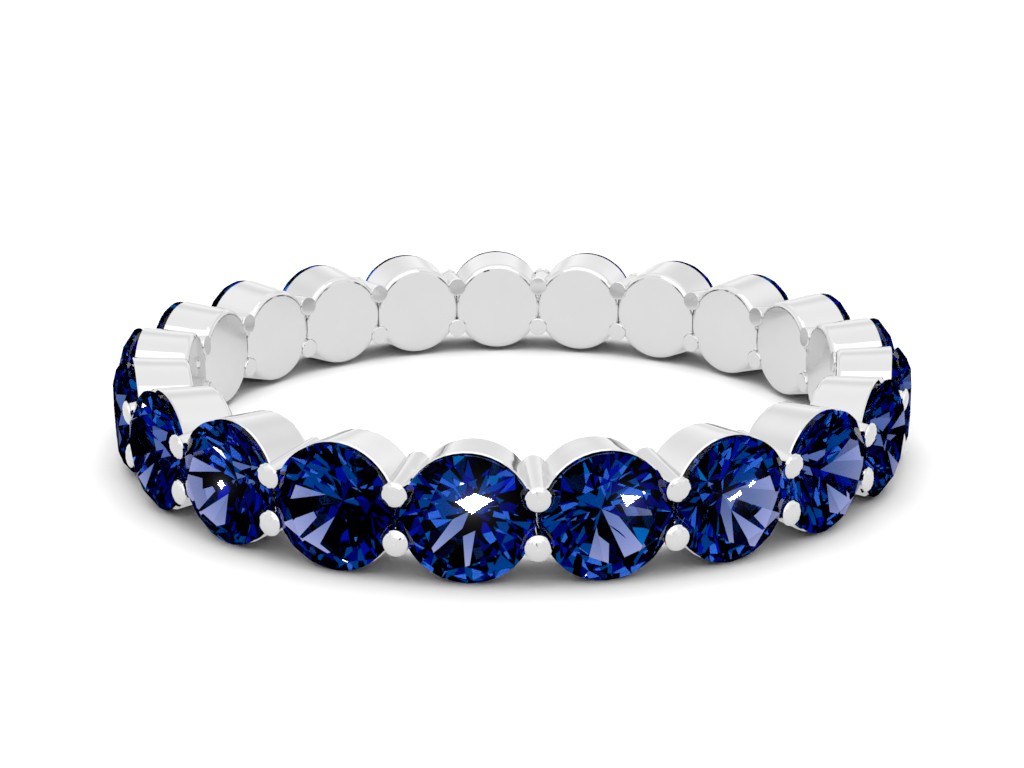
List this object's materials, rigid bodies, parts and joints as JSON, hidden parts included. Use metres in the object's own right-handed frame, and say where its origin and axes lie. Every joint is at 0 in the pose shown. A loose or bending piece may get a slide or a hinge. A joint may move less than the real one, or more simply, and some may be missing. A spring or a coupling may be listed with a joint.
{
  "type": "eternity ring",
  "caption": "Finger ring of equal round blue stones all the way round, each in a closed white-metal cup, held by domed bars between the cups.",
  "frame": {"origin": "centre of the finger hole, on the finger's axis at the middle of the band's height", "axes": "+Z along the finger's axis, which is upright as the ring lies on its side; -Y through the middle of the first stone"},
  "size_m": [0.0214, 0.0213, 0.003],
  "materials": {
    "white_metal": "polished",
    "blue_stone": "polished facets"
  },
  "bodies": {
    "root": {"setting": "white_metal", "stone_01": "blue_stone", "stone_02": "blue_stone", "stone_03": "blue_stone", "stone_04": "blue_stone", "stone_05": "blue_stone", "stone_06": "blue_stone", "stone_07": "blue_stone", "stone_08": "blue_stone", "stone_09": "blue_stone", "stone_10": "blue_stone", "stone_11": "blue_stone", "stone_12": "blue_stone", "stone_13": "blue_stone", "stone_14": "blue_stone", "stone_15": "blue_stone", "stone_16": "blue_stone", "stone_17": "blue_stone", "stone_18": "blue_stone", "stone_19": "blue_stone", "stone_20": "blue_stone", "stone_21": "blue_stone"}
  },
  "joints": []
}
